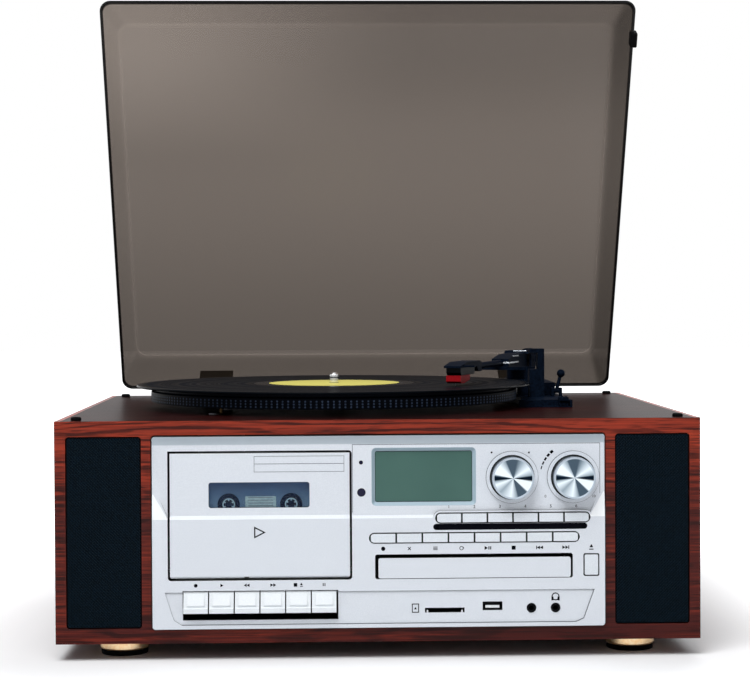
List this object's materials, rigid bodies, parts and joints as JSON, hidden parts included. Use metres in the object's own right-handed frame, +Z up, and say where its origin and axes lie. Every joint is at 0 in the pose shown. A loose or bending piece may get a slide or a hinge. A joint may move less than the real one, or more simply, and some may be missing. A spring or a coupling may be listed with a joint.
{
  "type": "stereo music centre",
  "caption": "Wooden tabletop music centre with a belt-drive record deck under a hinged clear lid, a cassette deck, a radio and a CD tray.",
  "frame": {"origin": "on the floor at the centre of the cabinet's footprint, between the four feet", "axes": "+X to the right seen from the front, +Y towards the back, +Z up"},
  "size_m": [0.44, 0.412, 0.4809],
  "materials": {
    "cabinet_wood": "gloss stained veneer",
    "back_panel": "matt black board",
    "silver_plastic": "satin silver paint",
    "grille_mesh": "matt dark blue-black mesh",
    "black_plastic": "matt",
    "display_window": "clear",
    "circuit_board": "solder mask",
    "socket_metal": "bare",
    "knob_metal": "spun",
    "deck_metal": "plated",
    "cassette_shell": "smoked",
    "smoked_window": "clear smoked",
    "lid_acrylic": "clear smoked",
    "platter_black": "satin",
    "vinyl": "grooved",
    "belt_rubber": "matt",
    "pulley_brass": "turned",
    "spindle_steel": "polished",
    "arm_metal": "silver",
    "stylus_red": "translucent red",
    "foot_brass": "polished",
    "foot_rubber": "matt"
  },
  "bodies": {
    "case": {"top_board": "cabinet_wood", "cabinet_shell": "cabinet_wood", "front_board": "cabinet_wood", "rear_board": "back_panel", "front_fascia": "silver_plastic", "speaker_grilles": "grille_mesh", "speaker_drivers": "black_plastic", "display_lens": "display_window", "circuit_boards": "circuit_board", "front_sockets": "socket_metal", "foot_rings": "foot_brass", "foot_pads": "foot_rubber", "lid_bumpers": "foot_rubber", "hinge_brackets": "black_plastic", "turntable_motor": "deck_metal", "drive_belt": "belt_rubber", "spindle": "spindle_steel", "tonearm_base": "black_plastic", "cd_loader": "black_plastic", "tape_mechanism": "deck_metal", "rear_sockets": "black_plastic", "case_screws": "deck_metal"},
    "lid": {"dust_cover": "lid_acrylic", "hinge_arms": "black_plastic"},
    "turntable": {"platter": "platter_black", "record": "vinyl"},
    "pulley": {"motor_pulley": "pulley_brass"},
    "turret": {"tonearm_turret": "black_plastic"},
    "arm": {"tonearm": "arm_metal", "cartridge": "stylus_red"},
    "lever": {"cue_lever": "arm_metal"},
    "lift": {"cue_lift": "black_plastic"},
    "selector": {"speed_selector": "black_plastic"},
    "tray": {"cd_tray": "silver_plastic"},
    "tape_door": {"cassette_door": "silver_plastic", "door_window": "smoked_window", "cassette": "cassette_shell"},
    "tuning": {"tuning_knob": "knob_metal"},
    "volume": {"volume_knob": "knob_metal"},
    "eject": {"eject_button": "silver_plastic"},
    "key_record_body": {"key_record": "silver_plastic"},
    "key_play_body": {"key_play": "silver_plastic"},
    "key_rewind_body": {"key_rewind": "silver_plastic"},
    "key_fast_forward_body": {"key_fast_forward": "silver_plastic"},
    "key_stop_eject_body": {"key_stop_eject": "silver_plastic"},
    "key_pause_body": {"key_pause": "silver_plastic"},
    "function_button_1_body": {"function_button_1": "silver_plastic"},
    "function_button_2_body": {"function_button_2": "silver_plastic"},
    "function_button_3_body": {"function_button_3": "silver_plastic"},
    "function_button_4_body": {"function_button_4": "silver_plastic"},
    "function_button_5_body": {"function_button_5": "silver_plastic"},
    "function_button_6_body": {"function_button_6": "silver_plastic"},
    "transport_button_1_body": {"transport_button_1": "silver_plastic"},
    "transport_button_2_body": {"transport_button_2": "silver_plastic"},
    "transport_button_3_body": {"transport_button_3": "silver_plastic"},
    "transport_button_4_body": {"transport_button_4": "silver_plastic"},
    "transport_button_5_body": {"transport_button_5": "silver_plastic"},
    "transport_button_6_body": {"transport_button_6": "silver_plastic"},
    "transport_button_7_body": {"transport_button_7": "silver_plastic"},
    "transport_button_8_body": {"transport_button_8": "silver_plastic"}
  },
  "joints": [
    {"name": "lid_hinge", "type": "hinge", "parent": "case", "child": "lid", "pos_m": [0, 0.177, 0.1645], "axis": [-1, 0, 0], "range_deg": [-64.57, 5.4]},
    {"name": "platter_spin", "type": "hinge", "parent": "case", "child": "turntable", "pos_m": [-0.0292, -0.0085, 0.1635], "axis": [0, 0, 1], "continuous": true},
    {"name": "pulley_spin", "type": "hinge", "parent": "case", "child": "pulley", "pos_m": [-0.112, -0.0809, 0.1635], "axis": [0, 0, 1], "continuous": true},
    {"name": "tonearm_swing", "type": "hinge", "parent": "case", "child": "turret", "pos_m": [0.1272, 0.1065, 0.1835], "axis": [0, 0, 1], "range_deg": [-16.7, 19.3]},
    {"name": "tonearm_tilt", "type": "hinge", "parent": "turret", "child": "arm", "pos_m": [0.1272, 0.1065, 0.1943], "axis": [-0.9395, 0.3427, 0], "range_deg": [0, 3]},
    {"name": "cue_lever_turn", "type": "hinge", "parent": "case", "child": "lever", "pos_m": [0.1453, 0.014, 0.1733], "axis": [-1, 0, 0], "range_deg": [0, 40]},
    {"name": "cue_lift_rise", "type": "slide", "parent": "case", "child": "lift", "axis": [0, 0, 1], "range_m": [0, 0.004]},
    {"name": "speed_select", "type": "slide", "parent": "case", "child": "selector", "axis": [-1, 0, 0], "range_m": [0, 0.012]},
    {"name": "tray_slide", "type": "slide", "parent": "case", "child": "tray", "axis": [0, -1, 0], "range_m": [0, 0.13]},
    {"name": "tape_door_hinge", "type": "hinge", "parent": "case", "child": "tape_door", "pos_m": [-0.081, -0.1725, 0.0625], "axis": [1, 0, 0], "range_deg": [0, 22]},
    {"name": "tuning_turn", "type": "hinge", "parent": "case", "child": "tuning", "pos_m": [0.0907, -0.1735, 0.1236], "axis": [0, 1, 0], "continuous": true},
    {"name": "volume_turn", "type": "hinge", "parent": "case", "child": "volume", "pos_m": [0.1325, -0.1735, 0.1236], "axis": [0, 1, 0], "range_deg": [-150, 150]},
    {"name": "eject_press", "type": "slide", "parent": "case", "child": "eject", "axis": [0, 1, 0], "range_m": [0, 0.001], "stiffness_N_per_m": 200, "springref_m": -0.002},
    {"name": "key_record_press", "type": "hinge", "parent": "case", "child": "key_record_body", "pos_m": [-0.0812, -0.1235, 0.042], "axis": [1, 0, 0], "range_deg": [0, 5.2], "stiffness_Nm_per_rad": 0.5, "springref_deg": -5.73},
    {"name": "key_play_press", "type": "hinge", "parent": "case", "child": "key_play_body", "pos_m": [-0.0812, -0.1235, 0.042], "axis": [1, 0, 0], "range_deg": [0, 5.2], "stiffness_Nm_per_rad": 0.5, "springref_deg": -5.73},
    {"name": "key_rewind_press", "type": "hinge", "parent": "case", "child": "key_rewind_body", "pos_m": [-0.0812, -0.1235, 0.042], "axis": [1, 0, 0], "range_deg": [0, 5.2], "stiffness_Nm_per_rad": 0.5, "springref_deg": -5.73},
    {"name": "key_fast_forward_press", "type": "hinge", "parent": "case", "child": "key_fast_forward_body", "pos_m": [-0.0812, -0.1235, 0.042], "axis": [1, 0, 0], "range_deg": [0, 5.2], "stiffness_Nm_per_rad": 0.5, "springref_deg": -5.73},
    {"name": "key_stop_eject_press", "type": "hinge", "parent": "case", "child": "key_stop_eject_body", "pos_m": [-0.0812, -0.1235, 0.042], "axis": [1, 0, 0], "range_deg": [0, 5.2], "stiffness_Nm_per_rad": 0.5, "springref_deg": -5.73},
    {"name": "key_pause_press", "type": "hinge", "parent": "case", "child": "key_pause_body", "pos_m": [-0.0812, -0.1235, 0.042], "axis": [1, 0, 0], "range_deg": [0, 5.2], "stiffness_Nm_per_rad": 0.5, "springref_deg": -5.73},
    {"name": "function_button_1_press", "type": "slide", "parent": "case", "child": "function_button_1_body", "axis": [0, 1, 0], "range_m": [0, 0.001], "stiffness_N_per_m": 200, "springref_m": -0.002},
    {"name": "function_button_2_press", "type": "slide", "parent": "case", "child": "function_button_2_body", "axis": [0, 1, 0], "range_m": [0, 0.001], "stiffness_N_per_m": 200, "springref_m": -0.002},
    {"name": "function_button_3_press", "type": "slide", "parent": "case", "child": "function_button_3_body", "axis": [0, 1, 0], "range_m": [0, 0.001], "stiffness_N_per_m": 200, "springref_m": -0.002},
    {"name": "function_button_4_press", "type": "slide", "parent": "case", "child": "function_button_4_body", "axis": [0, 1, 0], "range_m": [0, 0.001], "stiffness_N_per_m": 200, "springref_m": -0.002},
    {"name": "function_button_5_press", "type": "slide", "parent": "case", "child": "function_button_5_body", "axis": [0, 1, 0], "range_m": [0, 0.001], "stiffness_N_per_m": 200, "springref_m": -0.002},
    {"name": "function_button_6_press", "type": "slide", "parent": "case", "child": "function_button_6_body", "axis": [0, 1, 0], "range_m": [0, 0.001], "stiffness_N_per_m": 200, "springref_m": -0.002},
    {"name": "transport_button_1_press", "type": "slide", "parent": "case", "child": "transport_button_1_body", "axis": [0, 1, 0], "range_m": [0, 0.001], "stiffness_N_per_m": 200, "springref_m": -0.002},
    {"name": "transport_button_2_press", "type": "slide", "parent": "case", "child": "transport_button_2_body", "axis": [0, 1, 0], "range_m": [0, 0.001], "stiffness_N_per_m": 200, "springref_m": -0.002},
    {"name": "transport_button_3_press", "type": "slide", "parent": "case", "child": "transport_button_3_body", "axis": [0, 1, 0], "range_m": [0, 0.001], "stiffness_N_per_m": 200, "springref_m": -0.002},
    {"name": "transport_button_4_press", "type": "slide", "parent": "case", "child": "transport_button_4_body", "axis": [0, 1, 0], "range_m": [0, 0.001], "stiffness_N_per_m": 200, "springref_m": -0.002},
    {"name": "transport_button_5_press", "type": "slide", "parent": "case", "child": "transport_button_5_body", "axis": [0, 1, 0], "range_m": [0, 0.001], "stiffness_N_per_m": 200, "springref_m": -0.002},
    {"name": "transport_button_6_press", "type": "slide", "parent": "case", "child": "transport_button_6_body", "axis": [0, 1, 0], "range_m": [0, 0.001], "stiffness_N_per_m": 200, "springref_m": -0.002},
    {"name": "transport_button_7_press", "type": "slide", "parent": "case", "child": "transport_button_7_body", "axis": [0, 1, 0], "range_m": [0, 0.001], "stiffness_N_per_m": 200, "springref_m": -0.002},
    {"name": "transport_button_8_press", "type": "slide", "parent": "case", "child": "transport_button_8_body", "axis": [0, 1, 0], "range_m": [0, 0.001], "stiffness_N_per_m": 200, "springref_m": -0.002}
  ],
  "couplings": [
    {"joint": "pulley_spin", "follows": "platter_spin", "ratio": 16.364},
    {"joint": "cue_lever_turn", "follows": "tonearm_tilt", "ratio": 13.3},
    {"joint": "cue_lift_rise", "follows": "tonearm_tilt", "m_per_rad": 0.076}
  ]
}
